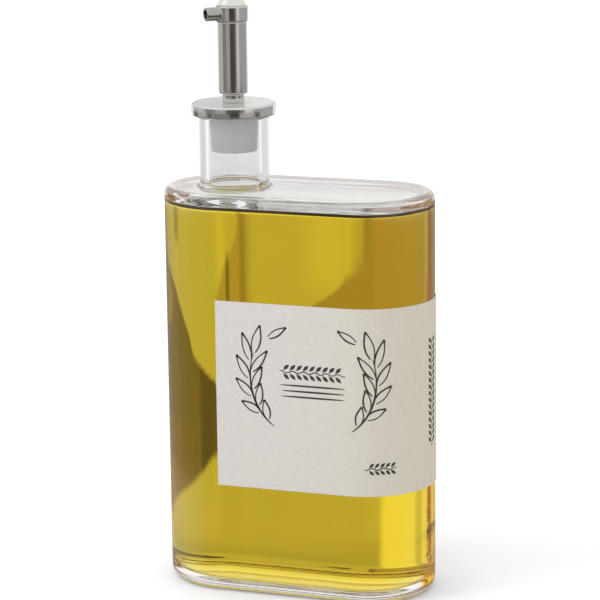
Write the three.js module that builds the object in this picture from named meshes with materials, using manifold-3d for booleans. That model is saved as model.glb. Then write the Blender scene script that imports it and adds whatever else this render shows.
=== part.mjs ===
// Glass oil dispenser: a flat glass bottle with round ends and its neck over the left end, filled
// with olive oil, stopped by a metal pourer and wrapped round the right end by a paper label.
// Millimetres, +Z up. The origin is the centre of the base on the surface the bottle stands on,
// +X runs along the bottle's width away from the neck, and -Y is the labelled front.
import * as THREE from "three";
import { mergeVertices } from "three/addons/utils/BufferGeometryUtils.js";
import Module from "manifold-3d";

// Bottle body
const BODY_WIDTH = 78;
const BODY_DEPTH = 38;
const SHOULDER_HEIGHT = 114;
const WALL = 3.5;
const FLOOR_THICKNESS = 2;
const SHOULDER_THICKNESS = 3;
const BASE_EDGE_RADIUS = 3;
const SHOULDER_EDGE_RADIUS = 1.6;
const INNER_BASE_RADIUS = 6;
const INNER_SHOULDER_RADIUS = 1.6;

// Neck
const NECK_X = -19;
const NECK_DIAMETER = 19.8;
const NECK_BORE = 14.6;
const NECK_HEIGHT = 20;
const NECK_ROOT_RADIUS = 1.4;
const LIP_RADIUS = 0.9;

// Contents
const OIL_LEVEL = 110;
const OIL_GAP = 0.3;

// Label
const LABEL_LOW = 31.4;
const LABEL_HIGH = 84.6;
const LABEL_FRONT_X = -18.2;
const LABEL_BACK_X = 19.5;
const LABEL_GAP = 0.05;
const LABEL_THICKNESS = 0.25;

// Pourer
const STOPPER_TOP_DIAMETER = 14;
const STOPPER_FOOT_DIAMETER = 13;
const STOPPER_LENGTH = 10.1;
const STOPPER_EDGE_RADIUS = 0.5;
const FLANGE_DIAMETER = 23.8;
const FLANGE_THICKNESS = 3.5;
const FLANGE_TOP_RADIUS = 0.7;
const FLANGE_FOOT_RADIUS = 0.5;
const SPIGOT_DIAMETER = 6.2;
const SPIGOT_HEIGHT = 2.4;
const TUBE_DIAMETER = 8.3;
const TUBE_LENGTH = 20.3;
const TUBE_FOOT_RADIUS = 0.6;
const HEAD_DIAMETER = 9.1;
const HEAD_HEIGHT = 4.3;
const HEAD_EDGE_RADIUS = 0.3;
const CAP_DIAMETER = 7.8;
const CAP_RISE = 3;
const OUTLET_DIAMETER = 3.8;
const OUTLET_BORE = 2.4;
const OUTLET_BORE_DEPTH = 2.5;
const OUTLET_REACH = 8.1;
const OUTLET_HEADING = THREE.MathUtils.degToRad(225);

// Facets
const END_STEPS = 32;
const NECK_STEPS = 48;
const TUBE_STEPS = 40;
const OUTLET_STEPS = 24;
const EDGE_STEPS = 5;
const DOME_STEPS = 10;

const HALF_DEPTH = BODY_DEPTH / 2;
const END_CENTRE_X = BODY_WIDTH / 2 - HALF_DEPTH;
const NECK_TOP = SHOULDER_HEIGHT + NECK_HEIGHT;
const FLANGE_TOP = NECK_TOP + FLANGE_THICKNESS;
const TUBE_LOW = FLANGE_TOP + SPIGOT_HEIGHT;
const HEAD_LOW = TUBE_LOW + TUBE_LENGTH;
const HEAD_TOP = HEAD_LOW + HEAD_HEIGHT;
const QUARTER = Math.PI / 2;

const wasm = await Module();
wasm.setup();

// A closed geometry as a solid that can be joined and cut.
function solidOf(geometry) {
  const bare = geometry.clone();
  bare.deleteAttribute("normal");
  bare.deleteAttribute("uv");
  const merged = mergeVertices(bare, 1e-4);
  return new wasm.Manifold(
    new wasm.Mesh({
      numProp: 3,
      vertProperties: merged.attributes.position.array,
      triVerts: new Uint32Array(merged.index.array),
    }),
  );
}

// A joined or cut solid as a geometry with flat faces.
function geometryOf(solid) {
  const mesh = solid.getMesh();
  const indexed = new THREE.BufferGeometry();
  indexed.setAttribute("position", new THREE.BufferAttribute(mesh.vertProperties, 3));
  indexed.setIndex(new THREE.BufferAttribute(mesh.triVerts, 1));
  const flat = indexed.toNonIndexed();
  flat.computeVertexNormals();
  return flat;
}

function point(x, y) {
  return new THREE.Vector2(x, y);
}

// A quarter circle as profile points, with angles counted in quarter turns.
function corner(x, y, radius, from, to) {
  const arc = new THREE.EllipseCurve(x, y, radius, radius, from * QUARTER, to * QUARTER, to < from);
  return arc.getPoints(EDGE_STEPS);
}

// The bottle's level outline, two half circles joined by straight sides, drawn in by "inset".
// It starts at the front end of the right half circle and runs counter-clockwise.
function outline(inset) {
  const radius = HALF_DEPTH - inset;
  const right = new THREE.EllipseCurve(END_CENTRE_X, 0, radius, radius, -QUARTER, QUARTER);
  const left = new THREE.EllipseCurve(-END_CENTRE_X, 0, radius, radius, QUARTER, 3 * QUARTER);
  return [...right.getPoints(END_STEPS), ...left.getPoints(END_STEPS)];
}

// A solid with the bottle's level outline, drawn in as a profile of (inset, height) points says.
function stackedOutline(profile) {
  const rings = profile.map((step) => outline(step.x));
  const count = rings[0].length;
  const positions = rings.flatMap((ring, level) => ring.flatMap((v) => [v.x, v.y, profile[level].y]));
  const index = [];
  for (let level = 0; level + 1 < rings.length; level++) {
    for (let i = 0; i < count; i++) {
      const a = level * count + i;
      const b = level * count + ((i + 1) % count);
      index.push(a, b, b + count, a, b + count, a + count);
    }
  }
  const top = (rings.length - 1) * count;
  for (let i = 1; i + 1 < count; i++) {
    index.push(0, i + 1, i);
    index.push(top, top + i, top + i + 1);
  }
  const geometry = new THREE.BufferGeometry();
  geometry.setAttribute("position", new THREE.Float32BufferAttribute(positions, 3));
  geometry.setIndex(index);
  return geometry;
}

// The rounded foot and top of a wall as (inset, height) points.
function wallProfile(inset, low, high, footRadius, topRadius) {
  return [
    ...corner(inset + footRadius, low + footRadius, footRadius, 3, 2),
    ...corner(inset + topRadius, high - topRadius, topRadius, 2, 1),
  ];
}

// A solid turned about the neck's axis from a profile of (radius, height) points, on the axis at
// both ends.
function turned(profile, steps) {
  const geometry = new THREE.LatheGeometry(profile, steps);
  geometry.rotateX(QUARTER);
  geometry.translate(NECK_X, 0, 0);
  return geometry;
}

// One moulded piece of clear glass with thick walls and a wide round inside the base, hollow up
// through the neck.
function bottleGlass() {
  const body = stackedOutline(
    wallProfile(0, 0, SHOULDER_HEIGHT, BASE_EDGE_RADIUS, SHOULDER_EDGE_RADIUS),
  );
  const ceiling = SHOULDER_HEIGHT - SHOULDER_THICKNESS;
  const hollow = stackedOutline(
    wallProfile(WALL, FLOOR_THICKNESS, ceiling, INNER_BASE_RADIUS, INNER_SHOULDER_RADIUS),
  );
  const radius = NECK_DIAMETER / 2;
  const rootRadius = radius + NECK_ROOT_RADIUS;
  const sunk = SHOULDER_HEIGHT - SHOULDER_THICKNESS / 2;
  const neck = turned(
    [
      point(0, sunk),
      point(rootRadius, sunk),
      ...corner(rootRadius, SHOULDER_HEIGHT + NECK_ROOT_RADIUS, NECK_ROOT_RADIUS, 3, 2),
      ...corner(radius - LIP_RADIUS, NECK_TOP - LIP_RADIUS, LIP_RADIUS, 0, 1),
      point(0, NECK_TOP),
    ],
    NECK_STEPS,
  );
  const boreLow = ceiling - SHOULDER_THICKNESS;
  const boreHigh = NECK_TOP + 1;
  const bore = turned(
    [
      point(0, boreLow),
      point(NECK_BORE / 2, boreLow),
      point(NECK_BORE / 2, boreHigh),
      point(0, boreHigh),
    ],
    NECK_STEPS,
  );
  const outside = solidOf(body).add(solidOf(neck));
  const inside = solidOf(hollow).add(solidOf(bore));
  return geometryOf(outside.subtract(inside));
}

// The oil up to its level, just clear of the glass.
function oil() {
  const inset = WALL + OIL_GAP;
  const low = FLOOR_THICKNESS + OIL_GAP;
  const foot = corner(inset + INNER_BASE_RADIUS, low + INNER_BASE_RADIUS, INNER_BASE_RADIUS, 3, 2);
  return stackedOutline([...foot, point(inset, OIL_LEVEL)]);
}

// The paper label, a thin skin from the bottle's front face round the right end to the edge of
// the back face.
function label() {
  const rightEnd = END_STEPS + 1;
  const outer = outline(-LABEL_GAP - LABEL_THICKNESS).slice(0, rightEnd);
  const inner = outline(-LABEL_GAP).slice(0, rightEnd).reverse();
  const outerY = outer[rightEnd - 1].y;
  const innerY = inner[0].y;
  const strip = new THREE.Shape([
    point(LABEL_FRONT_X, -outerY),
    ...outer,
    point(LABEL_BACK_X, outerY),
    point(LABEL_BACK_X, innerY),
    ...inner,
    point(LABEL_FRONT_X, -innerY),
  ]);
  const height = LABEL_HIGH - LABEL_LOW;
  const geometry = new THREE.ExtrudeGeometry(strip, { depth: height, bevelEnabled: false });
  geometry.translate(0, 0, LABEL_LOW);
  return geometry;
}

// The soft tapered plug that holds the pourer in the neck.
function stopper() {
  const low = NECK_TOP - STOPPER_LENGTH;
  const foot = STOPPER_FOOT_DIAMETER / 2;
  return turned(
    [
      point(0, low),
      ...corner(foot - STOPPER_EDGE_RADIUS, low + STOPPER_EDGE_RADIUS, STOPPER_EDGE_RADIUS, -1, 0),
      point(STOPPER_TOP_DIAMETER / 2, NECK_TOP),
      point(0, NECK_TOP),
    ],
    NECK_STEPS,
  );
}

// The polished disc that covers the neck's lip.
function flange() {
  const radius = FLANGE_DIAMETER / 2;
  return turned(
    [
      point(0, NECK_TOP),
      ...corner(radius - FLANGE_FOOT_RADIUS, NECK_TOP + FLANGE_FOOT_RADIUS, FLANGE_FOOT_RADIUS, -1, 0),
      ...corner(radius - FLANGE_TOP_RADIUS, FLANGE_TOP - FLANGE_TOP_RADIUS, FLANGE_TOP_RADIUS, 0, 1),
      point(0, FLANGE_TOP),
    ],
    NECK_STEPS,
  );
}

// The upright pour tube on its narrower spigot.
function pourTube() {
  const radius = TUBE_DIAMETER / 2;
  return turned(
    [
      point(0, FLANGE_TOP),
      point(SPIGOT_DIAMETER / 2, FLANGE_TOP),
      point(SPIGOT_DIAMETER / 2, TUBE_LOW),
      ...corner(radius - TUBE_FOOT_RADIUS, TUBE_LOW + TUBE_FOOT_RADIUS, TUBE_FOOT_RADIUS, -1, 0),
      point(radius, HEAD_LOW),
      point(0, HEAD_LOW),
    ],
    TUBE_STEPS,
  );
}

// A level rod that points the way the spout does, between two distances from the neck's axis.
function outletRod(diameter, from, to) {
  const geometry = new THREE.CylinderGeometry(diameter / 2, diameter / 2, to - from, OUTLET_STEPS);
  geometry.translate(0, (from + to) / 2, 0);
  geometry.rotateZ(OUTLET_HEADING - QUARTER);
  geometry.translate(NECK_X, 0, HEAD_LOW + HEAD_HEIGHT / 2);
  return geometry;
}

// The collar at the top of the tube, one piece with the small side outlet and its open mouth.
function spoutHead() {
  const radius = HEAD_DIAMETER / 2;
  const edge = radius - HEAD_EDGE_RADIUS;
  const collar = turned(
    [
      point(0, HEAD_LOW),
      ...corner(edge, HEAD_LOW + HEAD_EDGE_RADIUS, HEAD_EDGE_RADIUS, -1, 0),
      ...corner(edge, HEAD_TOP - HEAD_EDGE_RADIUS, HEAD_EDGE_RADIUS, 0, 1),
      point(0, HEAD_TOP),
    ],
    TUBE_STEPS,
  );
  const outlet = outletRod(OUTLET_DIAMETER, 0, OUTLET_REACH);
  const mouth = outletRod(OUTLET_BORE, OUTLET_REACH - OUTLET_BORE_DEPTH, OUTLET_REACH + 1);
  return geometryOf(solidOf(collar).add(solidOf(outlet)).subtract(solidOf(mouth)));
}

// The dome that closes the top of the collar.
function spoutCap() {
  const dome = new THREE.EllipseCurve(0, HEAD_TOP, CAP_DIAMETER / 2, CAP_RISE, 0, QUARTER);
  return turned([point(0, HEAD_TOP), ...dome.getPoints(DOME_STEPS)], TUBE_STEPS);
}

const clearGlass = { color: 0xe9efec, roughness: 0.03, metalness: 0, transparent: true, opacity: 0.3 };
const oliveOil = { color: 0xc2a01c, roughness: 0.1, metalness: 0, transparent: true, opacity: 0.9 };
const paper = { color: 0xe0dccf, roughness: 0.8, metalness: 0 };
const softPlastic = { color: 0xb4b4b0, roughness: 0.5, metalness: 0 };
const polishedMetal = { color: 0xb9b8b3, roughness: 0.15, metalness: 1 };

const pieces = [
  ["bottle_glass", bottleGlass(), clearGlass],
  ["oil", oil(), oliveOil],
  ["label", label(), paper],
  ["stopper", stopper(), softPlastic],
  ["flange", flange(), polishedMetal],
  ["pour_tube", pourTube(), polishedMetal],
  ["spout_head", spoutHead(), polishedMetal],
  ["spout_cap", spoutCap(), polishedMetal],
];

const dispenser = new THREE.Group();
for (const [name, geometry, look] of pieces) {
  const mesh = new THREE.Mesh(geometry, new THREE.MeshStandardMaterial(look));
  mesh.name = name;
  dispenser.add(mesh);
}

export default dispenser;
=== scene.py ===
import math

import bpy
import numpy as np
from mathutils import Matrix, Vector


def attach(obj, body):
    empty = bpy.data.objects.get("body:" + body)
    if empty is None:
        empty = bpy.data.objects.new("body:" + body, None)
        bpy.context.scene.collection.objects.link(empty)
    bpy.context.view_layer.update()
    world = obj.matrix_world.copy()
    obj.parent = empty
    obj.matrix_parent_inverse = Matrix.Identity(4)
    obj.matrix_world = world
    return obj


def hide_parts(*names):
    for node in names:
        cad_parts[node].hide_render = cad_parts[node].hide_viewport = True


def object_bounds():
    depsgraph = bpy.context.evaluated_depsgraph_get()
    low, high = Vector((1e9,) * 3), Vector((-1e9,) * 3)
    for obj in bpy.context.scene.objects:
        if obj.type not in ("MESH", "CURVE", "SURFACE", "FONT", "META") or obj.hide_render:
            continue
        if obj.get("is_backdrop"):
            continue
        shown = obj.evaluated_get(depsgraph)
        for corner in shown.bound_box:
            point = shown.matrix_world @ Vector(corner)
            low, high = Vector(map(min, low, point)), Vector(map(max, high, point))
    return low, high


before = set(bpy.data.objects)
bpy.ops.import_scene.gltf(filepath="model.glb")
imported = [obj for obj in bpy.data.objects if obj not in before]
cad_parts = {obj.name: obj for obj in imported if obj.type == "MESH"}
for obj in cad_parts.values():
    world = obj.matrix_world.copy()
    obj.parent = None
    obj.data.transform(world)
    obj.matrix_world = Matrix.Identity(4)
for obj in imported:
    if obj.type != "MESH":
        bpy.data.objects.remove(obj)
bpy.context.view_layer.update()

# The glass bottle
# One moulded piece of clear glass with thick walls and a rounded foot: a flat body with round ends,
# a level shoulder, and a short neck over its left end with a rounded lip.
MM = 0.001
HALF_DEPTH = 19.0
END_CENTRE_X = 20.0
SHOULDER_HEIGHT = 114.0
WALL = 3.5
FLOOR_TOP = 2.0
CEILING = 111.4
CEILING_ARCH = 1.0
NECK_X = -19.0
NECK_RADIUS = 9.9
NECK_TOP = 134.0
BORE_RADIUS = 7.3
NECK_ROOT = 1.4
LIP_ROUND = 0.9
FOOT_ROUND = 3.0
SHOULDER_ROUND = 1.6
INNER_FOOT_ROUND = 6.0
INNER_SHOULDER_ROUND = 1.6
EASE = 0.35
OUTER_SIDE_LOW, OUTER_SIDE_HIGH = 10, 105
INNER_SIDE_LOW, INNER_SIDE_HIGH = 14, 104
SIDE_RINGS = 12
END_POINTS, SIDE_POINTS = 96, 44


def level_outline():
    """The bottle's level outline as two arrays: the x of the centre each point turns about, and
    the angle it is turned to. Right end, back side, left end, front side, in that order."""
    half_turn = np.linspace(-90, 90, END_POINTS, endpoint=False)
    along = np.linspace(END_CENTRE_X, -END_CENTRE_X, SIDE_POINTS, endpoint=False)
    centre = np.concatenate([
        np.full(END_POINTS, END_CENTRE_X), along, np.full(END_POINTS, -END_CENTRE_X), -along,
    ])
    angle = np.concatenate([
        half_turn, np.full(SIDE_POINTS, 90.0), half_turn + 180, np.full(SIDE_POINTS, 270.0),
    ])
    return centre, np.radians(angle)


OUTLINE_CENTRE, OUTLINE_ANGLE = level_outline()


def body_ring(inset, z):
    """A level ring inside the bottle's outline: each point stands half the depth less the inset
    from the centre it turns about."""
    radius = HALF_DEPTH - inset
    x = OUTLINE_CENTRE + radius * np.cos(OUTLINE_ANGLE)
    y = radius * np.sin(OUTLINE_ANGLE)
    return np.stack([x, y, np.full_like(x, z)], axis=1)


def neck_ring(radius, z):
    """A level circle about the neck's axis, with each point on the line from the axis to the same
    point of the body's outline."""
    body = body_ring(0.0, z)
    heading = np.arctan2(body[:, 1], body[:, 0] - NECK_X)
    x = NECK_X + radius * np.cos(heading)
    return np.stack([x, radius * np.sin(heading), body[:, 2]], axis=1)


def rounded(centre_a, centre_b, radius, start, end, steps=8):
    """Points of a circular arc in a profile, from one angle to another, in degrees."""
    turn = np.radians(np.linspace(start, end, steps + 1))
    return np.stack([centre_a + radius * np.cos(turn), centre_b + radius * np.sin(turn)], axis=1)


def new_piece(name, points, faces):
    """A piece in the scene from its points, in metres, and its faces."""
    mesh = bpy.data.meshes.new(name)
    mesh.from_pydata(np.reshape(points, (-1, 3)).tolist(), [], faces)
    piece = bpy.data.objects.new(name, mesh)
    bpy.context.scene.collection.objects.link(piece)
    return piece


def skin(name, rings):
    """A smooth mesh through a stack of closed rings: a square face between each two neighbouring
    points of two neighbouring rings, and one flat face across each end ring."""
    rings = np.asarray(rings)
    levels, around = rings.shape[:2]
    level, step = np.meshgrid(np.arange(levels - 1), np.arange(around), indexing="ij")
    a = (level * around + step).ravel()
    b = (level * around + (step + 1) % around).ravel()
    faces = np.stack([a, b, b + around, a + around], axis=1).tolist()
    faces.append(np.arange(around)[::-1].tolist())
    faces.append(((levels - 1) * around + np.arange(around)).tolist())
    piece = new_piece(name, rings * MM, faces)
    piece.data.shade_smooth()
    return piece


def blend_rings(first, last, shares):
    """Rings part of the way from one ring to another."""
    return [first * (1 - share) + last * share for share in shares]


def bottle_rings():
    """The whole skin of the bottle as one stack of rings: out from the foot, up the wall, in over
    the shoulder, up the neck, over the lip, down the bore, out under the shoulder, and down the
    inner wall to the floor. A close pair of rings beside each round keeps the flats flat."""
    rings = [body_ring(FOOT_ROUND + EASE, 0.0)]
    for inset, z in rounded(FOOT_ROUND, FOOT_ROUND, FOOT_ROUND, 270, 180):
        rings.append(body_ring(inset, z))
    top = SHOULDER_HEIGHT - SHOULDER_ROUND
    outer_side = np.linspace(OUTER_SIDE_LOW, OUTER_SIDE_HIGH, SIDE_RINGS)
    for z in [FOOT_ROUND + EASE, *outer_side, top - EASE]:
        rings.append(body_ring(0.0, z))
    for inset, z in rounded(SHOULDER_ROUND, top, SHOULDER_ROUND, 180, 90):
        rings.append(body_ring(inset, z))
    edge = body_ring(SHOULDER_ROUND + EASE, SHOULDER_HEIGHT)
    root = NECK_RADIUS + NECK_ROOT
    rings += blend_rings(edge, neck_ring(root + EASE, SHOULDER_HEIGHT), [0, 0.33, 0.66, 1])
    for radius, z in rounded(root, SHOULDER_HEIGHT + NECK_ROOT, NECK_ROOT, 270, 180):
        rings.append(neck_ring(radius, z))
    for z in np.linspace(SHOULDER_HEIGHT + NECK_ROOT + EASE, NECK_TOP - LIP_ROUND - EASE, 6):
        rings.append(neck_ring(NECK_RADIUS, z))
    for radius, z in rounded(NECK_RADIUS - LIP_ROUND, NECK_TOP - LIP_ROUND, LIP_ROUND, 0, 90):
        rings.append(neck_ring(radius, z))
    inner_lip = 0.5
    for radius, z in rounded(BORE_RADIUS + inner_lip, NECK_TOP - inner_lip, inner_lip, 90, 180, 5):
        rings.append(neck_ring(radius, z))
    bore_flare = 1.0
    flare_top = CEILING + bore_flare
    for z in np.linspace(NECK_TOP - inner_lip - EASE, flare_top + EASE, 8):
        rings.append(neck_ring(BORE_RADIUS, z))
    for radius, z in rounded(BORE_RADIUS + bore_flare, flare_top, bore_flare, 180, 270, 6):
        rings.append(neck_ring(radius, z))
    mouth = neck_ring(BORE_RADIUS + bore_flare + EASE, CEILING)
    rim = WALL + INNER_SHOULDER_ROUND
    share = np.linspace(0, 1, 12)
    ceiling = blend_rings(mouth, body_ring(rim, CEILING), share)
    rings += [ring - [0, 0, CEILING_ARCH * s**2] for ring, s in zip(ceiling, share)]
    top = CEILING - CEILING_ARCH - INNER_SHOULDER_ROUND
    for inset, z in rounded(rim, top, INNER_SHOULDER_ROUND, 90, 180)[1:]:
        rings.append(body_ring(inset, z))
    low = FLOOR_TOP + INNER_FOOT_ROUND
    inner_side = np.linspace(INNER_SIDE_HIGH, INNER_SIDE_LOW, SIDE_RINGS)
    for z in [top - EASE, *inner_side, low + EASE]:
        rings.append(body_ring(WALL, z))
    for inset, z in rounded(WALL + INNER_FOOT_ROUND, low, INNER_FOOT_ROUND, 180, 270, 14):
        rings.append(body_ring(inset, z))
    rings.append(body_ring(WALL + INNER_FOOT_ROUND + EASE, FLOOR_TOP))
    return rings


def new_material(name):
    """A node material with its Principled shader, and functions to add and join nodes."""
    material = bpy.data.materials.new(name)
    material.use_nodes = True
    tree = material.node_tree
    shader = tree.nodes["Principled BSDF"]

    def add(kind, **values):
        node = tree.nodes.new(kind)
        for key, value in values.items():
            if hasattr(node, key):
                setattr(node, key, value)
            else:
                node.inputs[key.replace("_", " ")].default_value = value
        return node

    def join(source, target):
        tree.links.new(source, target)

    return material, shader, add, join


def output_of(material):
    """The node that a material's surface and volume go into."""
    return next(node for node in material.node_tree.nodes if node.type == "OUTPUT_MATERIAL")


def moulded_noise(add, join, scale, detail):
    """Soft noise that follows the piece's own coordinates."""
    place = add("ShaderNodeTexCoord")
    noise = add("ShaderNodeTexNoise")
    noise.inputs["Scale"].default_value = scale
    noise.inputs["Detail"].default_value = detail
    join(place.outputs["Object"], noise.inputs["Vector"])
    return noise.outputs["Fac"]


def between(add, join, source, low, high):
    """A plain number that runs from low to high as the source runs over its middle range."""
    spread = add("ShaderNodeMapRange")
    spread.inputs["From Min"].default_value = 0.3
    spread.inputs["From Max"].default_value = 0.7
    spread.inputs["To Min"].default_value = low
    spread.inputs["To Max"].default_value = high
    join(source, spread.inputs["Value"])
    return spread.outputs["Result"]


def mixed_colour(add, join, source, first, second):
    """A colour between two as the source runs over its middle range."""
    ramp = add("ShaderNodeValToRGB")
    ramp.color_ramp.elements[0].position = 0.3
    ramp.color_ramp.elements[1].position = 0.7
    ramp.color_ramp.elements[0].color = (*first, 1)
    ramp.color_ramp.elements[1].color = (*second, 1)
    join(source, ramp.inputs["Fac"])
    return ramp.outputs["Color"]


def bumped(add, join, shader, source, strength, distance):
    """Low relief on a shader from a plain number."""
    bump = add("ShaderNodeBump")
    bump.inputs["Strength"].default_value = strength
    bump.inputs["Distance"].default_value = distance
    join(source, bump.inputs["Height"])
    join(bump.outputs["Normal"], shader.inputs["Normal"])


def clear_glass(name, mirror, polish=0.0):
    """Clear bottle glass with a faint cool tint and the slow waves of a moulded wall. The mirror is
    how much of its plain reflection it keeps: nearly none where oil wets it. Polish adds a second,
    stronger shine, which only the level shoulder has."""
    material, shader, add, join = new_material(name)
    shader.inputs["Transmission Weight"].default_value = 1.0
    shader.inputs["IOR"].default_value = 1.5
    shader.inputs["Specular Tint"].default_value = (mirror, mirror, mirror, 1)
    shader.inputs["Coat Weight"].default_value = polish
    shader.inputs["Coat IOR"].default_value = 2.3
    waves = moulded_noise(add, join, 45.0, 1.0)
    tint = mixed_colour(add, join, waves, (0.985, 0.995, 0.99), (1.0, 1.0, 1.0))
    join(tint, shader.inputs["Base Color"])
    join(between(add, join, waves, 0.0, 0.012), shader.inputs["Roughness"])
    bumped(add, join, shader, waves, 0.12, 0.0006)
    return material


def face_places(piece):
    """The x, y and z of the middle of each face, in millimetres, and how far in it lies from the
    bottle's level outline."""
    centres = np.empty(len(piece.data.polygons) * 3)
    piece.data.polygons.foreach_get("center", centres)
    x, y, z = centres.reshape(-1, 3).T / MM
    depth_in = HALF_DEPTH - np.hypot(np.maximum(np.abs(x) - END_CENTRE_X, 0), y)
    return x, y, z, depth_in


WETTED_DEPTH, WETTED_LOW, WETTED_HIGH = 3.2, 1.5, 110.3
SHINY_LOW, SHINY_HIGH = 112.2, SHOULDER_HEIGHT + 0.1
SHINY_FROM_NECK = BORE_RADIUS + 1.5

bottle = skin("bottle", bottle_rings())
bottle.data.materials.append(clear_glass("clear_glass", 1.0))
bottle.data.materials.append(clear_glass("wetted_glass", 0.03))
bottle.data.materials.append(clear_glass("shoulder_glass", 1.0, 1.0))
x, y, z, depth_in = face_places(bottle)
wetted = (depth_in > WETTED_DEPTH) & (z > WETTED_LOW) & (z < WETTED_HIGH)
from_neck = np.hypot(x - NECK_X, y)
shoulder = (z > SHINY_LOW) & (z < SHINY_HIGH) & (from_neck > SHINY_FROM_NECK)
bottle.data.polygons.foreach_set("material_index", (wetted + 2 * shoulder).astype(np.int32))
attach(bottle, "root")
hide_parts("bottle_glass")

# The oil
# Clear golden olive oil, poured in up to just under the shoulder. It wets the glass, so it reaches
# a hair into the wall and climbs it a little round its level top.
SUNK = 0.1
OIL_LEVEL = 110.0
CLIMB = 0.25
CLIMB_WIDTH = 0.45
CLIMB_REACHES = (0.08, 0.2, 0.35, 0.55, 0.8, 1.2, 1.8, 2.6)
TOP_BAND = 0.45
EDGE_DEPTH = 4.6
PATCH_RADIUS = BORE_RADIUS + 2.5


def oil_rings():
    """Rings up the oil's side, which is the inner wall moved out by a hair, then in over its top,
    whose height falls off from the wall as a dying curve."""
    foot = INNER_FOOT_ROUND + SUNK
    rim = WALL + INNER_SHOULDER_ROUND
    arc = INNER_SHOULDER_ROUND + SUNK
    rings = [body_ring(WALL + INNER_FOOT_ROUND + EASE, FLOOR_TOP - SUNK)]
    for inset, z in rounded(WALL + INNER_FOOT_ROUND, FLOOR_TOP + INNER_FOOT_ROUND, foot, 270, 180, 14):
        rings.append(body_ring(inset, z))
    low = FLOOR_TOP + INNER_FOOT_ROUND
    top = CEILING - CEILING_ARCH - INNER_SHOULDER_ROUND
    for z in [low + EASE, *np.linspace(INNER_SIDE_LOW, INNER_SIDE_HIGH, SIDE_RINGS), top - EASE]:
        rings.append(body_ring(WALL - SUNK, z))
    lean = math.degrees(math.asin((OIL_LEVEL + CLIMB - top) / arc))
    for inset, z in rounded(rim, top, arc, 180, 180 - lean, 5):
        rings.append(body_ring(inset, z))
    start = rim - arc * math.cos(math.radians(lean))
    for reach in CLIMB_REACHES:
        rings.append(body_ring(start + reach, OIL_LEVEL + CLIMB * math.exp(-reach / CLIMB_WIDTH)))
    return rings


def olive_oil():
    """Clear golden oil: nearly all its colour is what its own depth takes out of the light."""
    material, shader, add, join = new_material("olive_oil")
    shader.inputs["Transmission Weight"].default_value = 1.0
    shader.inputs["IOR"].default_value = 1.47
    shader.inputs["Specular Tint"].default_value = (0.08, 0.08, 0.08, 1)
    cloud = moulded_noise(add, join, 18.0, 1.0)
    tint = mixed_colour(add, join, cloud, (1.0, 0.985, 0.93), (1.0, 0.99, 0.96))
    join(tint, shader.inputs["Base Color"])
    join(between(add, join, cloud, 0.0, 0.01), shader.inputs["Roughness"])
    depth = add("ShaderNodeVolumeAbsorption")
    depth.inputs["Color"].default_value = (0.982, 0.893, 0.03, 1)
    depth.inputs["Density"].default_value = 110.0
    join(depth.outputs["Volume"], output_of(material).inputs["Volume"])
    return material


def oil_edge():
    """The oil's climbing edge, painted dark for the shade it shows as it bends the light away."""
    material, shader, add, join = new_material("oil_edge")
    cloud = moulded_noise(add, join, 60.0, 2.0)
    # Painted shade: the near-black colour stands in for the light the edge bends away.
    dark = mixed_colour(add, join, cloud, (0.034, 0.027, 0.003), (0.055, 0.043, 0.006))
    join(dark, shader.inputs["Base Color"])
    join(between(add, join, cloud, 0.35, 0.5), shader.inputs["Roughness"])
    shader.inputs["Specular IOR Level"].default_value = 0.1
    return material


def oil_surface():
    """The oil's open top: from above a deep gold, and from a low angle a soft mirror of the pale
    room, with that mirror painted clearer and more olive in a round patch under the neck."""
    material, shader, add, join = new_material("oil_surface")
    cloud = moulded_noise(add, join, 40.0, 2.0)
    gold = mixed_colour(add, join, cloud, (0.50, 0.38, 0.030), (0.58, 0.45, 0.045))
    join(gold, shader.inputs["Base Color"])
    join(between(add, join, cloud, 0.02, 0.06), shader.inputs["Roughness"])
    place = add("ShaderNodeTexCoord")
    centred = add("ShaderNodeMapping")
    reach = 1000.0 / PATCH_RADIUS
    centred.inputs["Location"].default_value = (-NECK_X * MM * reach, 0, -OIL_LEVEL * MM * reach)
    centred.inputs["Scale"].default_value = (reach, reach, reach)
    join(place.outputs["Object"], centred.inputs["Vector"])
    patch = add("ShaderNodeTexGradient", gradient_type="SPHERICAL")
    join(centred.outputs["Vector"], patch.inputs["Vector"])
    # A painted reflection tint: the mirror's colour turns more olive in the round patch under the
    # neck.
    tone = add("ShaderNodeValToRGB")
    tone.color_ramp.elements[0].position = 0.12
    tone.color_ramp.elements[1].position = 0.32
    tone.color_ramp.elements[0].color = (0.84, 0.83, 0.74, 1)
    tone.color_ramp.elements[1].color = (0.80, 0.81, 0.56, 1)
    join(patch.outputs["Fac"], tone.inputs["Fac"])
    mirror = add("ShaderNodeBsdfGlossy")
    join(tone.outputs["Color"], mirror.inputs["Color"])
    join(between(add, join, cloud, 0.22, 0.30), mirror.inputs["Roughness"])
    grazing = add("ShaderNodeLayerWeight", Blend=0.5)
    share = add("ShaderNodeMapRange")
    share.inputs["From Min"].default_value = 0.35
    share.inputs["From Max"].default_value = 0.66
    join(grazing.outputs["Facing"], share.inputs["Value"])
    blend = add("ShaderNodeMixShader")
    join(share.outputs["Result"], blend.inputs["Fac"])
    join(shader.outputs["BSDF"], blend.inputs[1])
    join(mirror.outputs["BSDF"], blend.inputs[2])
    join(blend.outputs["Shader"], output_of(material).inputs["Surface"])
    return material


oil = skin("oil_fill", oil_rings())
oil.data.materials.append(olive_oil())
oil.data.materials.append(oil_edge())
oil.data.materials.append(oil_surface())
x, y, z, depth_in = face_places(oil)
on_top = z > OIL_LEVEL - TOP_BAND
climbing = on_top & (depth_in < EDGE_DEPTH)
oil.data.polygons.foreach_set("material_index", (2 * on_top - climbing).astype(np.int32))
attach(oil, "root")
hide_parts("oil")
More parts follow.
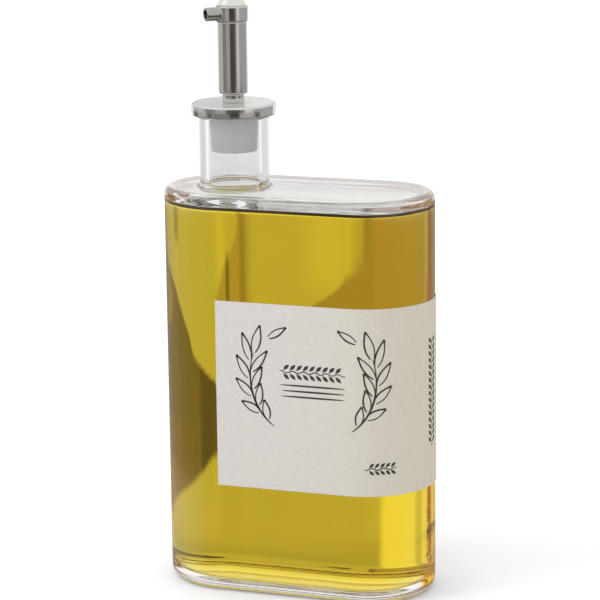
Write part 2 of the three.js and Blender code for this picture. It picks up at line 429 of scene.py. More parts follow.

# The label
# A strip of uncoated off-white paper, glued smooth over the front face and round the right end.
# Round that end its colour is painted creamier: a painted tint for the oil's yellow light on it.
LABEL_LOW, LABEL_MIDDLE, LABEL_HIGH = 31.4, 58.0, 84.6
LABEL_FRONT_X, LABEL_BACK_X = -18.2, 19.5
LABEL_GAP = 0.05
LABEL_THICKNESS = 0.22
LABEL_EASE = 0.06
SECTION_SIDES, GLUED_SIDES = 10, 2
END_FACES = 2
FRONT_LENGTH = END_CENTRE_X - LABEL_FRONT_X
END_LENGTH = math.pi * HALF_DEPTH
BACK_LENGTH = END_CENTRE_X - LABEL_BACK_X


def on_wall(along, z, stand):
    """Points on the bottle's outer wall, from how far along it they are in millimetres (from the
    label's left edge, over the front face and round the right end), their height, and how far
    they stand off the glass."""
    along, z, stand = np.broadcast_arrays(along, z, stand)
    past = along - FRONT_LENGTH
    angle = np.clip(past, 0, END_LENGTH) / HALF_DEPTH - math.pi / 2
    radius = HALF_DEPTH + stand
    x = END_CENTRE_X + np.minimum(past, 0) - np.maximum(past - END_LENGTH, 0) + radius * np.cos(angle)
    return np.stack([x, radius * np.sin(angle), z], axis=-1)


def label_rings():
    """The strip's cross-section, an upright sliver with softened edges, carried along the wall. Its
    first sides, from the top down, are the ones against the glass."""
    length = FRONT_LENGTH + END_LENGTH + BACK_LENGTH
    margin = 0.5
    along = np.concatenate([
        [0, LABEL_EASE],
        np.linspace(margin, FRONT_LENGTH, 40),
        FRONT_LENGTH + np.linspace(margin, END_LENGTH - margin, 110),
        [length - LABEL_EASE, length],
    ])
    near, far = LABEL_GAP, LABEL_GAP + LABEL_THICKNESS
    soft = 0.05
    section = [
        (near, LABEL_HIGH), (near, LABEL_MIDDLE), (near, LABEL_LOW),
        (far - soft, LABEL_LOW), (far, LABEL_LOW + soft), (far, LABEL_LOW + 3 * soft),
        (far, LABEL_MIDDLE), (far, LABEL_HIGH - 3 * soft),
        (far, LABEL_HIGH - soft), (far - soft, LABEL_HIGH),
    ]
    stand, height = np.array(section).T
    return on_wall(along[:, None], height[None, :], stand[None, :])


def label_paper():
    """Uncoated paper: an off-white tone that wanders a little, a painted cream tint round the end for
    the yellow light that comes through the oil, a fine tooth, and no gloss."""
    material, shader, add, join = new_material("label_paper")
    pulp = moulded_noise(add, join, 900.0, 6.0)
    place = add("ShaderNodeTexCoord")
    axes = add("ShaderNodeSeparateXYZ")
    join(place.outputs["Object"], axes.inputs["Vector"])
    # Round the end the colour turns to cream: painted light, the oil's yellow glow on the paper.
    painted_oil_light = add("ShaderNodeMapRange", interpolation_type="SMOOTHSTEP")
    painted_oil_light.inputs["From Min"].default_value = 0.0
    painted_oil_light.inputs["From Max"].default_value = 0.042
    join(axes.outputs["X"], painted_oil_light.inputs["Value"])
    tone = add("ShaderNodeMix", data_type="RGBA")
    join(painted_oil_light.outputs["Result"], tone.inputs["Factor"])
    off_white = mixed_colour(add, join, pulp, (0.535, 0.512, 0.480), (0.575, 0.552, 0.518))
    join(off_white, tone.inputs["A"])
    oil_lit_cream = mixed_colour(add, join, pulp, (0.530, 0.492, 0.405), (0.570, 0.532, 0.440))
    join(oil_lit_cream, tone.inputs["B"])
    join(tone.outputs["Result"], shader.inputs["Base Color"])
    join(between(add, join, pulp, 0.72, 0.85), shader.inputs["Roughness"])
    bumped(add, join, shader, pulp, 0.15, 0.00003)
    return material


def label_glued_side():
    """The side glued to the glass, with a painted glow for the daylight that soaks through."""
    material, shader, add, join = new_material("label_glued_side")
    pulp = moulded_noise(add, join, 300.0, 5.0)
    tone = mixed_colour(add, join, pulp, (0.60, 0.56, 0.47), (0.68, 0.64, 0.55))
    join(tone, shader.inputs["Base Color"])
    # The emission is painted light: the glow of daylight through the paper, seen through the oil.
    join(tone, shader.inputs["Emission Color"])
    shader.inputs["Emission Strength"].default_value = 0.42
    join(between(add, join, pulp, 0.6, 0.75), shader.inputs["Roughness"])
    bumped(add, join, shader, pulp, 0.1, 0.00003)
    return material


label = skin("paper_label", label_rings())
label.data.materials.append(label_paper())
label.data.materials.append(label_glued_side())
glued = np.arange(len(label.data.polygons)) % SECTION_SIDES < GLUED_SIDES
glued[-END_FACES:] = False
label.data.polygons.foreach_set("material_index", glued.astype(np.int32))
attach(label, "root")
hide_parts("label")

# The print on the label
# Fine strokes of matt black ink, a hair proud of the paper: two bowed sprigs of leaves, a small
# garland over three tapered rules between them, a short ornament below, and a narrow garland up the
# label's end.
INK_THICKNESS = 0.02
INK_SUNK = 0.005
INK_STEPS = 24
PRINT_MIDDLE = 28.4


def stroke(along, z, width):
    """One stroke of ink as rings of four points: its centre line, moved to each side by half its
    width, square to the way it runs, on the paper and at the ink's top."""
    run, rise = np.gradient(along), np.gradient(z)
    length = np.hypot(run, rise)
    across, up = -rise / length * width / 2, run / length * width / 2
    low = LABEL_GAP + LABEL_THICKNESS - INK_SUNK
    high = LABEL_GAP + LABEL_THICKNESS + INK_THICKNESS
    sides = [(-1, low), (1, low), (1, high), (-1, high)]
    ring = [on_wall(along + side * across, z + side * up, stand) for side, stand in sides]
    return np.stack(ring, axis=1)


def leaf_strokes(base, heading, length, breadth):
    """The outline of a pointed leaf: two edges that part from the base as a sine of the way along
    it and meet at the tip, where the ink is thickest."""
    t = np.linspace(0.1, 1, INK_STEPS)
    forward = np.array([math.sin(heading), math.cos(heading)])
    aside = np.array([math.cos(heading), -math.sin(heading)])
    strokes = []
    for side, weight in ((-1, 0.30), (1, 0.42)):
        swell = side * breadth / 2 * np.sin(math.pi * t**0.9)
        path = np.asarray(base)[:, None] + forward[:, None] * length * t + aside[:, None] * swell
        strokes.append((path[0], path[1], weight * (0.7 + 0.5 * np.sin(math.pi * t)) + 0.4 * t**8))
    return strokes


def sprig_strokes():
    """A bowed stem, a cubic curve from its foot to its top, with leaves that swing out on both
    sides and two at its top. The paths are measured from the print's middle."""
    foot, low_pull, high_pull, top = (-11.3, 49.8), (-18.0, 54.5), (-19.5, 63.0), (-17.2, 70.6)
    t = np.linspace(0, 1, INK_STEPS)[:, None]
    weights = np.hstack([(1 - t) ** 3, 3 * t * (1 - t) ** 2, 3 * t**2 * (1 - t), t**3])
    stem = (weights @ np.array([foot, low_pull, high_pull, top])).T
    heading = np.arctan2(np.gradient(stem[0]), np.gradient(stem[1]))
    strokes = [(stem[0], stem[1], 0.22 + 0.36 * np.sin(math.pi * t[:, 0] ** 0.7))]
    for first, swing in ((0.20, -0.46), (0.07, 0.62)):
        for share in first + 0.225 * np.arange(4):
            at = round(share * (INK_STEPS - 1))
            strokes += leaf_strokes(stem[:, at], heading[at] + swing, 6.0 + 3.2 * share, 2.1)
    strokes += leaf_strokes(stem[:, -1] - [0.1, 0.8], 0.24, 8.8, 2.5)
    strokes += leaf_strokes((-13.2, 74.7), 1.02, 6.7, 1.8)
    return strokes


def garland_strokes(middle, half_length, turn, size=1.0):
    """A thin stem, a sine wave along its length, with small solid leaves above and below it that
    swell and thin as half a sine wave, all turned about its middle."""
    t = np.linspace(-1, 1, INK_STEPS)
    wave = 0.35 * size * np.sin(t * half_length * 1.9)
    strokes = [(t * half_length, wave, 0.24 + 0.1 * np.cos(t * 1.5))]
    for place in np.arange(-half_length + 1.2, half_length - 1.0, 1.9 * size):
        for side in (-1, 1):
            grow = np.linspace(0, 1, INK_STEPS)
            run = place + 1.7 * size * grow
            lift = side * (0.35 + 1.75 * grow**0.8) * size
            strokes.append((run, lift, 0.06 + 0.95 * size * np.sin(math.pi * grow) ** 1.2))
    c, s = math.cos(turn), math.sin(turn)
    return [(middle[0] + c * a - s * b, middle[1] + s * a + c * b, w) for a, b, w in strokes]


def rule_strokes():
    """Three level rules that thin out towards both ends as a half circle does."""
    t = np.linspace(-1, 1, INK_STEPS)
    width = 0.05 + 0.48 * np.sqrt(1 - t**2)
    rules = ((61.9, 0.0, 9.6), (60.3, 0.3, 9.3), (58.7, 0.1, 9.4))
    return [(shift + reach * t, z + 0 * t, width) for z, shift, reach in rules]


def ink_mesh(name, strokes):
    """One piece of many strokes: square faces between neighbouring rings and across each end."""
    points = np.array([stroke(PRINT_MIDDLE + a, z, w) for a, z, w in strokes])
    index = np.arange(points[..., 0].size).reshape(points.shape[:3])
    beside = np.roll(index, -1, axis=2)
    sides = np.stack([index[:, :-1], beside[:, :-1], beside[:, 1:], index[:, 1:]], axis=-1)
    faces = np.concatenate([sides.reshape(-1, 4), index[:, 0, ::-1], index[:, -1]])
    return new_piece(name, points * MM, faces.tolist())


def black_ink():
    """Matt black ink, soaked unevenly into the paper."""
    material, shader, add, join = new_material("label_ink")
    soak = moulded_noise(add, join, 700.0, 3.0)
    black = mixed_colour(add, join, soak, (0.022, 0.020, 0.018), (0.050, 0.046, 0.040))
    join(black, shader.inputs["Base Color"])
    join(between(add, join, soak, 0.6, 0.8), shader.inputs["Roughness"])
    bumped(add, join, shader, soak, 0.1, 0.00001)
    return material


left_sprig = sprig_strokes()
right_sprig = [(-a, z, w) for a, z, w in left_sprig]
title_garland = garland_strokes(middle=(0.0, 65.7), half_length=9.6, turn=0.0)
end_garland = garland_strokes(middle=(38.4, 58.4), half_length=15.6, turn=math.pi / 2)
garlands = title_garland + end_garland
ornament = garland_strokes(middle=(19.3, 39.3), half_length=4.4, turn=0.0, size=0.8)
ink = ink_mesh("label_print", left_sprig + right_sprig + garlands + rule_strokes() + ornament)
ink.data.materials.append(black_ink())
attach(ink, "root")
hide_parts("label")

# The stopper
# A soft, slightly cloudy plastic plug, tapered so that it grips the bore as it is pushed in.
STOPPER_LOW = 123.9
STOPPER_TOP_RADIUS, STOPPER_FOOT_RADIUS = 7.0, 6.5


def turned(name, profile, steps=112):
    """A solid turned about the neck's axis from a profile of radius and height. The two ends of
    the profile are closed by flat faces."""
    angle = np.linspace(0, 2 * math.pi, steps, endpoint=False)
    profile = np.asarray(profile, float)
    radius, height = profile[:, 0, None], profile[:, 1, None]
    x = NECK_X + radius * np.cos(angle)
    y = radius * np.sin(angle)
    return skin(name, np.stack([x, y, np.broadcast_to(height, x.shape)], axis=-1))


def stopper_profile():
    """Out from the foot, round its edge and up the taper to the underside of the disc."""
    edge = 0.5
    side = np.linspace(0, 1, 12)[1:]
    radius = STOPPER_FOOT_RADIUS + (STOPPER_TOP_RADIUS - STOPPER_FOOT_RADIUS) * side
    height = STOPPER_LOW + edge + (NECK_TOP - STOPPER_LOW - edge) * side
    return np.concatenate([
        [(STOPPER_FOOT_RADIUS - edge - 0.3, STOPPER_LOW)],
        rounded(STOPPER_FOOT_RADIUS - edge, STOPPER_LOW + edge, edge, -90, 0, 5),
        np.stack([radius, height], axis=1),
        [(STOPPER_TOP_RADIUS - 0.3, NECK_TOP)],
    ])


def cloudy_plastic():
    """Soft pale plastic that lets a little light through."""
    material, shader, add, join = new_material("stopper_plastic")
    cloud = moulded_noise(add, join, 160.0, 3.0)
    grey = mixed_colour(add, join, cloud, (0.88, 0.88, 0.87), (0.94, 0.94, 0.93))
    join(grey, shader.inputs["Base Color"])
    join(between(add, join, cloud, 0.42, 0.55), shader.inputs["Roughness"])
    shader.inputs["Transmission Weight"].default_value = 0.2
    shader.inputs["IOR"].default_value = 1.42
    bumped(add, join, shader, cloud, 0.1, 0.0001)
    return material


stopper = turned("stopper_plug", stopper_profile())
stopper.data.materials.append(cloudy_plastic())
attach(stopper, "root")
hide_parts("stopper")

# The pourer's disc
# A turned and polished steel disc with rounded edges, which sits on the lip and caps the stopper.
DISC_RADIUS = 11.9
DISC_TOP = 137.5
RIM_SWELL = 0.025


def disc_profile():
    """Out under the disc, round its lower edge, up the rim, which swells by a hair at its middle,
    round the top edge and in over the flat top."""
    low, high = 0.5, 0.7
    flat_radius = 5.0
    share = np.linspace(-1, 1, 11)
    rim_z = NECK_TOP + low + 0.1 + (share + 1) / 2 * (DISC_TOP - high - NECK_TOP - low - 0.2)
    return np.concatenate([
        [(DISC_RADIUS - low - 0.3, NECK_TOP)],
        rounded(DISC_RADIUS - RIM_SWELL - low, NECK_TOP + low, low, -90, 0),
        np.stack([DISC_RADIUS - RIM_SWELL * share**2, rim_z], axis=1),
        rounded(DISC_RADIUS - RIM_SWELL - high, DISC_TOP - high, high, 0, 90),
        [(DISC_RADIUS - high - 0.4, DISC_TOP), (flat_radius, DISC_TOP)],
    ])


def polished_steel(name, tone, roughness, scratch=(1.0, 1.0, 1.0)):
    """Polished stainless steel: mirror bright, with the faint uneven haze of handling and very
    fine polishing lines."""
    material, shader, add, join = new_material(name)
    shader.inputs["Metallic"].default_value = 1.0
    place = add("ShaderNodeTexCoord")
    stretch = add("ShaderNodeMapping")
    stretch.inputs["Scale"].default_value = scratch
    join(place.outputs["Object"], stretch.inputs["Vector"])
    lines = add("ShaderNodeTexNoise")
    lines.inputs["Scale"].default_value = 400.0
    lines.inputs["Detail"].default_value = 4.0
    join(stretch.outputs["Vector"], lines.inputs["Vector"])
    haze = moulded_noise(add, join, 120.0, 2.0)
    dark = tuple(c * 0.93 for c in tone)
    join(mixed_colour(add, join, haze, dark, tone), shader.inputs["Base Color"])
    join(between(add, join, haze, roughness * 0.8, roughness * 1.3), shader.inputs["Roughness"])
    bumped(add, join, shader, lines.outputs["Fac"], 0.06, 0.00002)
    return material


steel = polished_steel("polished_steel", (0.70, 0.69, 0.67), 0.115)
disc = turned("pourer_disc", disc_profile())
disc.data.materials.append(steel)
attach(disc, "root")
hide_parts("flange")

# The pour tube
# A drawn steel tube, necked in at its foot where it is pressed into the disc.
TUBE_RADIUS = 4.15
SPIGOT_RADIUS = 3.1
TUBE_LOW = 139.9
TUBE_TOP = 160.2


def tube_profile():
    """Up the narrow foot, out under the tube, round its lower edge and up to the collar."""
    edge = 0.6
    hollow = 0.35
    return np.concatenate([
        [(SPIGOT_RADIUS - 0.3, DISC_TOP), (SPIGOT_RADIUS, DISC_TOP), (SPIGOT_RADIUS, DISC_TOP + 0.2)],
        [(SPIGOT_RADIUS, TUBE_LOW - hollow - 0.1)],
        rounded(SPIGOT_RADIUS + hollow, TUBE_LOW - hollow, hollow, 180, 90, 4),
        rounded(TUBE_RADIUS - edge, TUBE_LOW + edge, edge, -90, 0),
        [(TUBE_RADIUS, z) for z in (TUBE_LOW + edge + 0.15, TUBE_TOP - 0.3, TUBE_TOP - 0.15)],
        [(TUBE_RADIUS - 0.12, TUBE_TOP), (TUBE_RADIUS - 0.5, TUBE_TOP)],
    ])


tube = turned("tube", tube_profile(), 96)
tube.data.materials.append(polished_steel("drawn_steel", (0.62, 0.61, 0.58), 0.07, (1.0, 1.0, 0.05)))
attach(tube, "root")
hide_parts("pour_tube")

# The collar and its outlet
# A steel collar a little wider than the tube, with a short side outlet brazed into it that the
# oil runs out of.
COLLAR_RADIUS = 4.55
COLLAR_TOP = 164.5
OUTLET_RADIUS, OUTLET_BORE, OUTLET_DEPTH = 1.9, 1.2, 2.5
OUTLET_REACH = 8.1
OUTLET_HEADING = math.radians(225)
OUTLET_HEIGHT = (TUBE_TOP + COLLAR_TOP) / 2


def collar_profile():
    """Out under the collar, up its side between two softened edges, and in over its top."""
    edge = 0.3
    flat_radius = 3.6
    return np.concatenate([
        [(flat_radius, TUBE_TOP), (COLLAR_RADIUS - edge - 0.1, TUBE_TOP)],
        rounded(COLLAR_RADIUS - edge, TUBE_TOP + edge, edge, -90, 0, 5),
        [(COLLAR_RADIUS, TUBE_TOP + edge + 0.1), (COLLAR_RADIUS, COLLAR_TOP - edge - 0.1)],
        rounded(COLLAR_RADIUS - edge, COLLAR_TOP - edge, edge, 0, 90, 5),
        [(COLLAR_RADIUS - edge - 0.1, COLLAR_TOP), (flat_radius, COLLAR_TOP)],
    ])


def outlet_rings():
    """Rings along the outlet: from inside the collar out through a small braze fillet, along to
    the rounded rim of the mouth, and back in down the bore. Each ring's distance from the tube's
    axis follows the collar's curve at first and is level with the mouth at the end."""
    rim, bore_rim = 0.3, 0.2
    fillet = 0.45
    follow_length = 1.2
    foot = OUTLET_RADIUS + fillet
    root = COLLAR_RADIUS + fillet
    bore_end = OUTLET_REACH - OUTLET_DEPTH
    rows = [(foot, COLLAR_RADIUS - 0.6, 1.0), (foot, COLLAR_RADIUS, 1.0)]
    rows += [(radius, reach, 1.0) for radius, reach in rounded(foot, root, fillet, 270, 180, 5)]
    for reach in (root + 0.2, 6.4, 7.0, OUTLET_REACH - rim - 0.1):
        rows.append((OUTLET_RADIUS, reach, max(0.0, 1 - (reach - root) / follow_length)))
    mouth = np.concatenate([
        rounded(OUTLET_RADIUS - rim, OUTLET_REACH - rim, rim, 0, 90, 5),
        rounded(OUTLET_BORE + bore_rim, OUTLET_REACH - bore_rim, bore_rim, 90, 180, 4),
        [(OUTLET_BORE, reach) for reach in (OUTLET_REACH - 0.35, bore_end + 0.1, bore_end)],
    ])
    rows += [(radius, reach, 0.0) for radius, reach in mouth]
    angle = np.linspace(0, 2 * math.pi, 72, endpoint=False)
    radii, reach, follow = (column[:, None] for column in np.array(rows).T)
    across = radii * np.cos(angle)
    up = radii * np.sin(angle)
    bend = COLLAR_RADIUS - np.sqrt(np.maximum(COLLAR_RADIUS**2 - across**2, 0.0))
    out = reach - follow * bend
    c, s = math.cos(OUTLET_HEADING), math.sin(OUTLET_HEADING)
    return np.stack([NECK_X + c * out - s * across, s * out + c * across, OUTLET_HEIGHT + up], axis=-1)


bright_steel = polished_steel("collar_steel", (0.64, 0.63, 0.60), 0.07)
collar = turned("collar", collar_profile(), 96)
collar.data.materials.append(bright_steel)
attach(collar, "root")
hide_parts("spout_head")

outlet = skin("side_outlet", outlet_rings())
outlet.data.materials.append(polished_steel("outlet_steel", (0.42, 0.41, 0.39), 0.12))
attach(outlet, "root")
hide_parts("spout_head")

# The cap
# A small domed steel cap that closes the top of the collar.
CAP_RADIUS, CAP_RISE = 3.9, 3.0


def cap_profile():
    """A quarter of an ellipse from the rim up to the top, with a small flat where it closes."""
    turn = np.radians(np.linspace(0, 88.5, 24))
    dome = np.stack([CAP_RADIUS * np.cos(turn), COLLAR_TOP + CAP_RISE * np.sin(turn)], axis=1)
    return np.concatenate([[(CAP_RADIUS - 0.3, COLLAR_TOP)], dome])


cap = turned("dome_cap", cap_profile(), 96)
cap.data.materials.append(polished_steel("cap_steel", (0.78, 0.78, 0.75), 0.16))
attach(cap, "root")
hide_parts("spout_cap")

# The studio
# A plain white floor that runs out of sight, an even white sky and one soft lamp. A round light tent
# has one wall for the views through glass and oil and one for what is mirrored. The camera sees
# neither, nor the card close behind the bottle or the shaded patch under it.
CORNERS = np.array([(-1, -1, 0), (1, -1, 0), (1, 1, 0), (-1, 1, 0)])
ONE_FACE = [(0, 1, 2, 3)]
FLOOR_HALF, FLOOR_DROP = 6, 0.0003

floor = new_piece("floor", CORNERS * FLOOR_HALF, ONE_FACE)
floor_paint, floor_shader, _, _ = new_material("floor_white")
floor_shader.inputs["Base Color"].default_value = (0.95, 0.95, 0.95, 1)
floor_shader.inputs["Roughness"].default_value = 0.9
floor_shader.inputs["Emission Color"].default_value = (1, 1, 1, 1)
floor_shader.inputs["Emission Strength"].default_value = 0.1
floor.data.materials.append(floor_paint)
floor.location.z = -FLOOR_DROP
floor.visible_transmission = floor.visible_glossy = False
floor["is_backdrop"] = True

world = bpy.data.worlds.new("studio")
bpy.context.scene.world = world
world.use_nodes = True
world.node_tree.nodes["Background"].inputs["Color"].default_value = (1, 1, 1, 1)
world.node_tree.nodes["Background"].inputs["Strength"].default_value = 1.0

lamp_data = bpy.data.lights.new("soft_lamp", "AREA")
lamp_data.shape = "RECTANGLE"
lamp_data.size, lamp_data.size_y = 0.6, 0.6
lamp_data.energy = 4.0
lamp = bpy.data.objects.new("soft_lamp", lamp_data)
lamp.location = (-0.7, -0.5, 0.8)
lamp.rotation_euler = (math.radians(52), 0, math.radians(-55))
bpy.context.scene.collection.objects.link(lamp)

TENT_RADIUS = 300.0
WALL_LOW, WALL_HIGH = -120, 262
TENT_LOW, TENT_HIGH = -400, 900
BEHIND = math.radians(109.618)
GROUND_HALF, GROUND_DROP = 0.4, 0.39
wall_turn, wall_height = np.meshgrid(
    np.arange(-180, 180.01, 0.5), np.arange(WALL_LOW, WALL_HIGH + 0.1, 2.0)
)
seen_through, mirrored = np.ones((2,) + wall_turn.shape + (3,))


def soft_step(value, edge, soft):
    """Zero below the edge, one above it, with a smooth rise over the soft width between."""
    t = np.clip((value - edge) / soft + 0.5, 0, 1)
    return t * t * (3 - 2 * t)


def paint(wall, start, end, low, high, shade, warmth=0.0, soft_turn=0.8, soft_height=3.0):
    """Lay an even shade on one of the tent's walls, over what is there, between two headings and two
    heights, each a number or a curve along the headings, with soft edges. A warm shade has less
    green and blue, and one with a negative warmth has more."""
    across = soft_step(wall_turn, start, soft_turn) * soft_step(-wall_turn, -end, soft_turn)
    up = soft_step(wall_height, low, soft_height) * soft_step(-wall_height, -high, soft_height)
    cover = (across * up)[..., None]
    colour = shade * np.array([1.0, 1 - 0.2 * warmth, 1 - 0.25 * warmth])
    wall[:] = wall * (1 - cover) + colour * cover


def on_tent(turn, height):
    """Points of the tent, in metres, from their heading in degrees (0 behind the bottle as the
    camera sees it, and up to 180 round to the right) and their height in millimetres."""
    turn, height = np.broadcast_arrays(turn, height)
    heading = BEHIND - np.radians(turn)
    x, y = TENT_RADIUS * np.cos(heading), TENT_RADIUS * np.sin(heading)
    return np.stack([x, y, height], axis=-1) * MM


def studio_piece(name, points, faces, glow, cover=1.0):
    """A glowing piece of the studio that only reflections and refractions see. Where its cover is
    under one, what lies behind shows through."""
    piece = new_piece(name, points, np.reshape(faces, (-1, 4)).tolist())
    mesh = piece.data
    layer = mesh.color_attributes.new("glow", "FLOAT_COLOR", "POINT")
    rgba = np.ones((len(mesh.vertices), 4), np.float32)
    rgba[:, :3] = np.reshape(glow, (-1, 3))
    rgba[:, 3] = np.ravel(cover)
    layer.data.foreach_set("color", rgba.ravel())
    paper = bpy.data.materials.new(name)
    paper.use_nodes = True
    nodes = paper.node_tree.nodes
    nodes.clear()
    tone = nodes.new("ShaderNodeAttribute")
    tone.attribute_name = "glow"
    light = nodes.new("ShaderNodeEmission")
    clear = nodes.new("ShaderNodeBsdfTransparent")
    blend = nodes.new("ShaderNodeMixShader")
    out = nodes.new("ShaderNodeOutputMaterial")
    join = paper.node_tree.links.new
    join(tone.outputs["Color"], light.inputs["Color"])
    join(tone.outputs["Alpha"], blend.inputs["Fac"])
    join(clear.outputs["BSDF"], blend.inputs[1])
    join(light.outputs["Emission"], blend.inputs[2])
    join(blend.outputs["Shader"], out.inputs["Surface"])
    paper.cycles.emission_sampling = "NONE"
    mesh.materials.append(paper)
    piece.visible_camera = piece.visible_diffuse = piece.visible_shadow = False
    piece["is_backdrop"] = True
    return piece


def grid_faces(rows, columns):
    """Square faces between neighbouring points of an open grid."""
    row, column = np.meshgrid(np.arange(rows - 1), np.arange(columns - 1), indexing="ij")
    a = (row * columns + column).ravel()
    return np.stack([a, a + 1, a + columns + 1, a + columns], axis=1)


# The ends of the headings and a height below the wall's foot, for shades that run out over them.
LEFT, RIGHT, BELOW = -181, 181, -200

# What the views through the oil-filled body meet: a grey middle, brighter ground low down on both
# sides, and a few upright bands.
paint(seen_through, LEFT, RIGHT, BELOW, 54, 0.58)
paint(seen_through, 1.5, 4.4, 22, 54, 0.68, 0.0, 2.0, 12)
paint(seen_through, -3.4, 4.4, -84, -50, 0.54, 0.0, 3.0, 20)
paint(seen_through, -12, 60, BELOW, -84, 0.47, 0.0, 3.0, 16)
paint(seen_through, 60, 101, BELOW, 44, 0.30, 0.3, 8.0, 12.0)
paint(seen_through, 62, RIGHT, BELOW, -60, 0.92, 0.0, 4.0)
paint(seen_through, LEFT, -150, BELOW, -46, 0.97, 0.0, 4.0)
paint(seen_through, -48, -5.2, -45, 54, 0.46, 1.0, 1.0)
paint(seen_through, -5.6, -3.1, -45, 54, 0.26, 1.0, 0.8)
paint(seen_through, -150, -9.5, BELOW, -46, 0.97, 0.0, 4.0)
paint(seen_through, -42, -32, BELOW, -46, 0.68, 0.0, 4.0)
paint(seen_through, -150, -60, BELOW, -46, 1.10, -1.2, 8.0)
paint(seen_through, -60, -46, -45, 48, 0.60)
paint(seen_through, -101, -78, -45, 47, 0.30, -1.6, 6.0, 12.0)

# The dark patch behind the bottle, between two curves that fall and rise to the right, and what
# is over it.
low_turn = [3.7, 5, 13.5, 24, 52.8, 90]
high_turn = [3.7, 6, 9.3, 19.3, 22, 29.5, 38, 50, 90]
patch_low = np.interp(wall_turn, low_turn, [-41.5, -44.5, -53.6, -61.6, -74.1, -87])
patch_high = np.interp(wall_turn, high_turn, [-24, -15.5, -13.5, -6, 1, 10, 18, 24, 32])
paint(seen_through, 3.7, 95, patch_low, patch_high, 0.19, 0.5, 1.0, 3.0)
paint(seen_through, 3.7, 14, patch_low, patch_high, 0.12, 0.5, 3.0, 3.0)
paint(seen_through, 32, 38.5, 38, 54, 0.34, 0.0, 4.0, 8.0)
paint(seen_through, -50, 50, 58, 95, 0.72)

# What the glass mirrors, low down: dark, so that its shine stays faint over the oil, a little
# lighter behind the bottle, and lighter still low at the left.
paint(mirrored, LEFT, RIGHT, BELOW, 58, 0.12)
paint(mirrored, -75, 75, BELOW, 58, 0.32, 0.0, 20, 10)
paint(mirrored, -116, -40, -104, -46, 0.50, 0.0, 12, 24)

# What the polished pourer mirrors, on both sides of the camera. The headings run on past 180, so
# each shade is laid a full turn back as well. The disc's rim meets the low stripes.
low_stripes = (
    (290, 312, 0.16), (241, 258, 0.16), (194, 238, 0.24), (166, 194, 0.02), (104, 122, 0.14),
)
for side in (-360, 0):
    paint(mirrored, 44 + side, 316 + side, 62, 145, 0.50, 0.1)
    paint(mirrored, 258 + side, 316 + side, 95, 145, 0.66, 0.1)
    for low, high, dark in ((97, 124, 0.10), (124, 145, 0.06)):
        paint(mirrored, 150 + side, 168 + side, low, high, 0.24, 0.3, 4)
        paint(mirrored, 128 + side, 152 + side, low, high, 0.85, 0.2, 4)
        paint(mirrored, 200 + side, 234 + side, low, high, 0.50, 0.3, 4)
        paint(mirrored, 232 + side, 263 + side, low, high, dark + 0.22, 0.4, 8)
        paint(mirrored, 165 + side, 203 + side, low, high, dark, 0.7, 6)
    for start, end, shade in low_stripes:
        paint(mirrored, start + side, end + side, 62, 97, shade, 0, 8, 8)

# What the level faces mirror, high up: bright all round, with a grey shape and a narrow dark one
# behind the bottle.
paint(mirrored, LEFT, RIGHT, 145, 270, 0.95, 0, 1, 8)
paint(mirrored, -30, -4, 178, 230, 0.66, 0, 3, 6)
paint(mirrored, 7, 14, 178, 200, 0.05, 0, 2, 4)

wall_points = on_tent(wall_turn, wall_height)
for name, glow in (("tent_seen_through", seen_through), ("tent_mirrored", mirrored)):
    wall = studio_piece(name, wall_points, grid_faces(*wall_turn.shape), glow)
    wall.visible_glossy = glow is mirrored
    wall.visible_transmission = glow is seen_through
ring = np.arange(-180, 181, 5.0)
for name, low, high, shades in (
    ("tent_top", WALL_HIGH, TENT_HIGH, (0.95, 0.95)),
    ("tent_foot", TENT_LOW, WALL_LOW, (0.30, 0.50)),
):
    points = on_tent(ring[None, :], np.array([[low], [high]]))
    shades = np.array(shades)[:, None, None] * np.ones(points.shape)
    studio_piece(name, points, grid_faces(2, len(ring)), shades)
ground_points = CORNERS * GROUND_HALF - [0, 0, GROUND_DROP]
studio_piece("tent_ground", ground_points, ONE_FACE, np.full((4, 3), 0.3))

# The shaded table right under the glass, which only the view down through its base meets.
UNDER_HALF, UNDER_DROP = [0.034, 0.0155, 0], 0.00015
under_points = CORNERS * UNDER_HALF - [0, 0, UNDER_DROP]
under_base = studio_piece("under_base", under_points, ONE_FACE, np.full((4, 3), 0.22))
under_base.visible_glossy = False

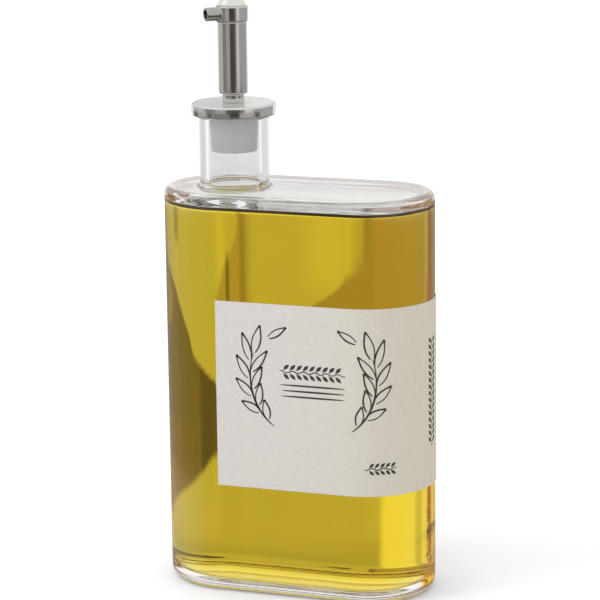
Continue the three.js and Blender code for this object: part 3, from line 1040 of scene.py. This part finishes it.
# A card close behind the bottle's back, which only the view through the oil meets: two soft-edged
# shapes with a curved left side each, and a narrow dark streak low down at the left one.
CARD_Y = 20.5
card_across, card_height = np.meshgrid(np.arange(-30, 20.1, 0.4), np.arange(70, 106.1, 0.6))
right_heights = [70, 79.3, 81, 83, 85.5, 89, 94, 106]
right_side = np.interp(card_height, right_heights, [-12, 2.3, 5.2, 7.9, 10.3, 11.9, 12.5, 12.8])
left_heights = [70, 79.3, 87.6, 91, 94, 98, 102, 106]
left_places = [-27, -27.6, -25.6, -24.2, -22.8, -21.7, -21.3, -21.2]
left_side = np.interp(card_height, left_heights, left_places)
right_cover = soft_step(card_across, right_side, 1.8) * soft_step(-card_across, -13.6, 0.6)
left_cover = soft_step(card_across, left_side, 1.2) * soft_step(-card_across, 20.4, 1.0)
streak = soft_step(card_across, -24.9, 0.6) * soft_step(-card_across, 23.8, 0.6)
streak = streak * soft_step(-card_height, -92, 6)
cover = np.maximum(np.maximum(right_cover, 0.75 * left_cover), 0.9 * streak)
card_points = np.stack([card_across, np.full_like(card_across, CARD_Y), card_height], axis=-1) * MM
card_tone = (0.42 - 0.28 * streak)[..., None] * np.array([1.0, 0.82, 0.78])
card = studio_piece("back_card", card_points, grid_faces(*card_across.shape), card_tone, cover=cover)
card.visible_glossy = False

# The camera, where the photograph was taken from: the bottle is turned a little, its right end
# nearer, and seen from a little above.
LENS = 161.73
YAW, PITCH, ROLL = math.radians(19.618), math.radians(12.528), math.radians(-0.676)
DISTANCE = 0.76079
AIM_ACROSS, AIM_HEIGHT = 0.000065, 0.08176
right = np.array([math.cos(YAW), math.sin(YAW), 0.0])
ahead = np.array([-math.sin(YAW) * math.cos(PITCH), math.cos(YAW) * math.cos(PITCH), -math.sin(PITCH)])
above = np.cross(right, ahead)
place = right * AIM_ACROSS + np.array([0, 0, AIM_HEIGHT]) - ahead * DISTANCE
turned_right = math.cos(ROLL) * right + math.sin(ROLL) * above
turned_up = math.cos(ROLL) * above - math.sin(ROLL) * right
matrix = np.eye(4)
matrix[:3] = np.stack([turned_right, turned_up, -ahead, place], axis=1)
camera_data = bpy.data.cameras.new("camera")
camera_data.lens = LENS
camera_data.sensor_width = 36
camera_data.clip_start, camera_data.clip_end = 0.05, 50
camera = bpy.data.objects.new("camera", camera_data)
bpy.context.scene.collection.objects.link(camera)
camera.matrix_world = matrix.T.tolist()
bpy.context.scene.camera = camera
bpy.context.scene.view_settings.view_transform = "Standard"
bpy.context.scene.cycles.max_bounces = 40
bpy.context.scene.cycles.transmission_bounces = 40
bpy.context.scene.cycles.glossy_bounces = 24

low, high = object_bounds()
